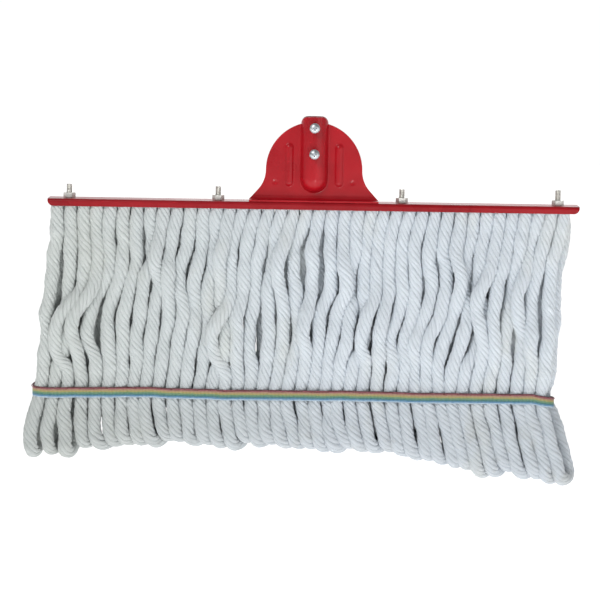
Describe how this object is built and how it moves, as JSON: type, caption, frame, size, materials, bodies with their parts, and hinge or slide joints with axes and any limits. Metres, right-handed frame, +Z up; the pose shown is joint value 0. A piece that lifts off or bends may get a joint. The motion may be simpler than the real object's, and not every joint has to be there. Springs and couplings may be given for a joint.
{
  "type": "string mop head",
  "caption": "Wet mop head: looped white cotton cords clamped under a long channel by a screwed strip, with a striped tail band and a pressed socket for a handle.",
  "frame": {"origin": "on the handle socket's axis, where its straight bore meets its rounded bottom", "axes": "+X along the clamp channel, +Z up out of the handle socket, -Y the front with the handle screws"},
  "size_m": [0.5186, 0.0409, 0.3461],
  "materials": {
    "red_enamel": "glossy",
    "zinc_plate": "bright zinc plate",
    "screw_steel": "plated, slightly dull",
    "yarn": "twisted cotton",
    "band": "woven in lengthwise stripes of dark red, tan, yellow, green and blue",
    "thread": "sewing thread"
  },
  "bodies": {
    "frame": {"front_plate": "red_enamel", "rear_plate": "red_enamel", "clamp_channel": "red_enamel"},
    "clamp": {"clamp_strip": "zinc_plate", "clamp_stud_1": "zinc_plate", "clamp_stud_2": "zinc_plate", "clamp_stud_3": "zinc_plate", "clamp_stud_4": "zinc_plate", "yarn_header": "yarn"},
    "yarn": {"yarn_loop_01": "yarn", "yarn_loop_02": "yarn", "yarn_loop_03": "yarn", "yarn_loop_04": "yarn", "yarn_loop_05": "yarn", "yarn_loop_06": "yarn", "yarn_loop_07": "yarn", "yarn_loop_08": "yarn", "yarn_loop_09": "yarn", "yarn_loop_10": "yarn", "yarn_loop_11": "yarn", "yarn_loop_12": "yarn", "yarn_loop_13": "yarn", "yarn_loop_14": "yarn", "yarn_loop_15": "yarn", "yarn_loop_16": "yarn", "yarn_loop_17": "yarn", "yarn_loop_18": "yarn", "yarn_loop_19": "yarn", "yarn_loop_20": "yarn", "yarn_loop_21": "yarn", "yarn_loop_22": "yarn", "yarn_loop_23": "yarn", "yarn_loop_24": "yarn", "yarn_loop_25": "yarn", "yarn_loop_26": "yarn", "yarn_loop_27": "yarn", "yarn_loop_28": "yarn", "yarn_loop_29": "yarn", "yarn_loop_30": "yarn", "yarn_loop_31": "yarn", "yarn_loop_32": "yarn", "yarn_loop_33": "yarn", "yarn_loop_34": "yarn", "yarn_loop_35": "yarn", "yarn_loop_36": "yarn", "yarn_loop_37": "yarn", "yarn_loop_38": "yarn", "yarn_loop_39": "yarn", "yarn_loop_40": "yarn", "tail_band": "band", "band_stitching": "thread"},
    "nut_1": {"clamp_nut_1": "zinc_plate"},
    "nut_2": {"clamp_nut_2": "zinc_plate"},
    "nut_3": {"clamp_nut_3": "zinc_plate"},
    "nut_4": {"clamp_nut_4": "zinc_plate"},
    "screw_upper": {"handle_screw_upper": "screw_steel"},
    "screw_lower": {"handle_screw_lower": "screw_steel"}
  },
  "joints": [
    {"name": "nut_1_turn", "type": "hinge", "parent": "frame", "child": "nut_1", "pos_m": [-0.2305, 0, -0.0216], "axis": [0, 0, 1], "range_deg": [0, 2880]},
    {"name": "nut_2_turn", "type": "hinge", "parent": "frame", "child": "nut_2", "pos_m": [-0.09, 0, -0.0216], "axis": [0, 0, 1], "range_deg": [0, 2880]},
    {"name": "nut_3_turn", "type": "hinge", "parent": "frame", "child": "nut_3", "pos_m": [0.08325, 0, -0.0216], "axis": [0, 0, 1], "range_deg": [0, 2880]},
    {"name": "nut_4_turn", "type": "hinge", "parent": "frame", "child": "nut_4", "pos_m": [0.2305, 0, -0.0216], "axis": [0, 0, 1], "range_deg": [0, 2880]},
    {"name": "clamp_slide", "type": "slide", "parent": "frame", "child": "clamp", "axis": [0, 0, -1], "range_m": [0, 0.008]},
    {"name": "yarn_swing", "type": "hinge", "parent": "clamp", "child": "yarn", "pos_m": [0, 0, -0.0424], "axis": [1, 0, 0], "range_deg": [-85, 85]},
    {"name": "screw_upper_drive", "type": "slide", "parent": "frame", "child": "screw_upper", "axis": [0, 1, 0], "range_m": [0, 0.005]},
    {"name": "screw_lower_drive", "type": "slide", "parent": "frame", "child": "screw_lower", "axis": [0, 1, 0], "range_m": [0, 0.005]}
  ],
  "couplings": [
    {"joint": "nut_1_turn", "follows": "clamp_slide", "rad_per_m": 6283.2},
    {"joint": "nut_2_turn", "follows": "clamp_slide", "rad_per_m": 6283.2},
    {"joint": "nut_3_turn", "follows": "clamp_slide", "rad_per_m": 6283.2},
    {"joint": "nut_4_turn", "follows": "clamp_slide", "rad_per_m": 6283.2}
  ]
}
